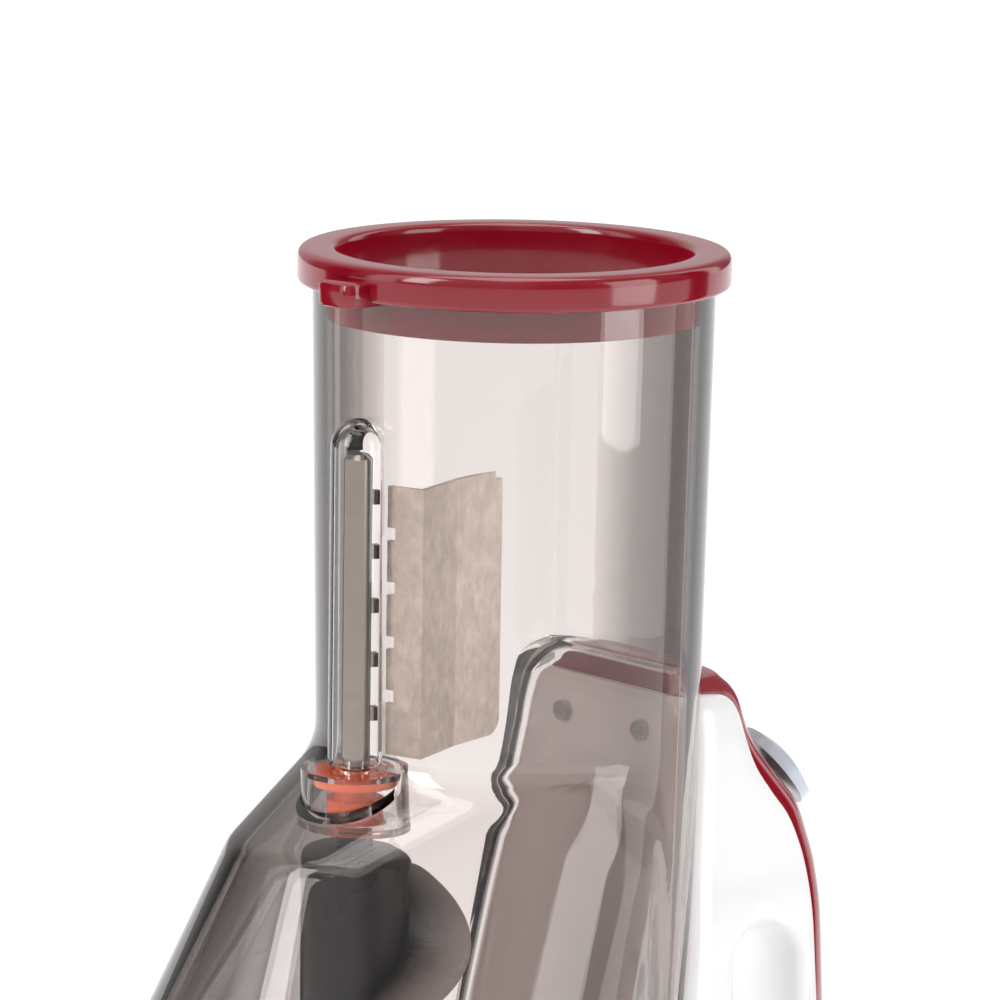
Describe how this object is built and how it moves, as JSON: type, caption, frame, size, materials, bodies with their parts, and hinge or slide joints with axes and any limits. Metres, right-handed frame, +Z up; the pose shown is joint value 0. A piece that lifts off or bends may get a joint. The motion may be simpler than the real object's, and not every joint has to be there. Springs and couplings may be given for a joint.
{
  "type": "vertical slow juicer",
  "caption": "Upright wide-mouth slow juicer: motor base with rear tower, juicing bowl with strainer and auger, smoke chute lid with cutter shaft and red collar.",
  "frame": {"origin": "centre of the footprint on the table, under the feet", "axes": "+Z up, +Y towards the rear tower, +X to the pulp outlet's side"},
  "size_m": [0.192, 0.203, 0.45],
  "materials": {
    "foot_rubber": "matt moulded rubber",
    "screw_steel": "zinc plated",
    "base_white": "gloss moulded shell",
    "cover_red": "gloss moulded cover",
    "dark_plastic": "fine moulded texture",
    "grey_plastic": "fine moulded texture",
    "motor_steel": "laminated can",
    "shaft_steel": "turned and polished",
    "gear_nylon": "moulded nylon",
    "board_green": "board with components",
    "dial_silver": "silver plated dial",
    "smoke_clear": "smoke tinted clear copolyester",
    "clear": "clear moulding",
    "silicone": "silicone",
    "mesh_steel": "fine perforated sheet",
    "auger_resin": "dense satin resin",
    "bush_orange": "orange bush",
    "plate_steel": "brushed bent sheet",
    "collar_red": "deep red gloss"
  },
  "bodies": {
    "base": {"rubber_feet": "foot_rubber", "foot_screws": "screw_steel", "bottom_plate": "grey_plastic", "base_shell": "base_white", "tower_shell": "base_white", "back_cover": "cover_red", "cover_screws": "screw_steel", "cord_gland": "dark_plastic", "motor_can": "motor_steel", "motor_screws": "screw_steel", "gearbox_case": "grey_plastic", "gearbox_cover": "grey_plastic", "gearbox_screws": "screw_steel", "reduction_axle": "shaft_steel", "output_bearing": "shaft_steel", "deck_seal": "silicone", "control_board": "board_green", "selector_switch": "dark_plastic", "interlock_switch": "dark_plastic"},
    "rotor": {"motor_rotor": "shaft_steel", "cooling_fan": "dark_plastic"},
    "reduction": {"reduction_wheel": "gear_nylon", "reduction_pinion": "shaft_steel"},
    "output": {"output_gear": "gear_nylon", "output_shaft": "shaft_steel"},
    "dial": {"selector_dial": "dial_silver"},
    "plungers": {"interlock_plungers": "grey_plastic"},
    "bowl": {"juice_bowl": "smoke_clear", "bowl_seal": "silicone", "cap_pin": "shaft_steel", "pinion_pin": "shaft_steel", "strainer_frame": "auger_resin", "strainer_mesh": "mesh_steel"},
    "cap": {"spout_cap": "smoke_clear", "cap_gasket": "silicone"},
    "brush_drive": {"brush_pinion": "gear_nylon"},
    "brush": {"brush_frame": "dark_plastic", "brush_wipers": "silicone"},
    "screw": {"auger": "auger_resin", "auger_gear": "gear_nylon", "auger_shaft": "shaft_steel"},
    "lid": {"chute_lid": "smoke_clear", "lid_gasket": "silicone", "bush_cup": "clear", "bush_ring": "bush_orange", "comb_plate": "plate_steel"},
    "cutter": {"drive_bush": "bush_orange", "cutter_shaft": "shaft_steel"},
    "collar": {"collar_ring": "collar_red"}
  },
  "joints": [
    {"name": "auger_spin", "type": "hinge", "parent": "bowl", "child": "screw", "pos_m": [0, -0.0335, 0.2], "axis": [0, 0, 1], "continuous": true},
    {"name": "brush_pinion_spin", "type": "hinge", "parent": "bowl", "child": "brush_drive", "pos_m": [-0.028, -0.0335, 0.156], "axis": [0, 0, 1], "continuous": true},
    {"name": "brush_spin", "type": "hinge", "parent": "bowl", "child": "brush", "pos_m": [0, -0.0335, 0.2], "axis": [0, 0, 1], "continuous": true},
    {"name": "cutter_spin", "type": "hinge", "parent": "lid", "child": "cutter", "pos_m": [0, -0.0335, 0.36], "axis": [0, 0, 1], "continuous": true},
    {"name": "output_spin", "type": "hinge", "parent": "base", "child": "output", "pos_m": [0, -0.0335, 0.1], "axis": [0, 0, 1], "continuous": true},
    {"name": "reduction_spin", "type": "hinge", "parent": "base", "child": "reduction", "pos_m": [0, 0.0025, 0.09], "axis": [0, 0, 1], "continuous": true},
    {"name": "motor_spin", "type": "hinge", "parent": "base", "child": "rotor", "pos_m": [0, 0.0385, 0.05], "axis": [0, 0, 1], "continuous": true},
    {"name": "dial_turn", "type": "hinge", "parent": "base", "child": "dial", "pos_m": [0.015, 0.0835, 0.3165], "axis": [0.2566, 0.7451, 0.6157], "range_deg": [-40, 40]},
    {"name": "interlock_press", "type": "slide", "parent": "base", "child": "plungers", "axis": [0, 1, 0], "range_m": [0, 0.002], "stiffness_N_per_m": 200, "springref_m": -0.0015},
    {"name": "bowl_lift", "type": "slide", "parent": "base", "child": "bowl", "axis": [0, 0, 1], "range_m": [0, 0.05]},
    {"name": "spout_cap_hinge", "type": "hinge", "parent": "bowl", "child": "cap", "pos_m": [-0.091, -0.0335, 0.1765], "axis": [0, 1, 0], "range_deg": [0, 95]},
    {"name": "lid_lift", "type": "slide", "parent": "bowl", "child": "lid", "axis": [0, 0, 1], "range_m": [0, 0.1]},
    {"name": "collar_lift", "type": "slide", "parent": "lid", "child": "collar", "axis": [0, 0, 1], "range_m": [0, 0.03]}
  ],
  "couplings": [
    {"joint": "brush_pinion_spin", "follows": "auger_spin", "ratio": -0.75},
    {"joint": "brush_spin", "follows": "auger_spin", "ratio": -0.27273},
    {"joint": "cutter_spin", "follows": "auger_spin", "ratio": 1},
    {"joint": "output_spin", "follows": "auger_spin", "ratio": 1},
    {"joint": "reduction_spin", "follows": "auger_spin", "ratio": -5},
    {"joint": "motor_spin", "follows": "auger_spin", "ratio": 25}
  ]
}
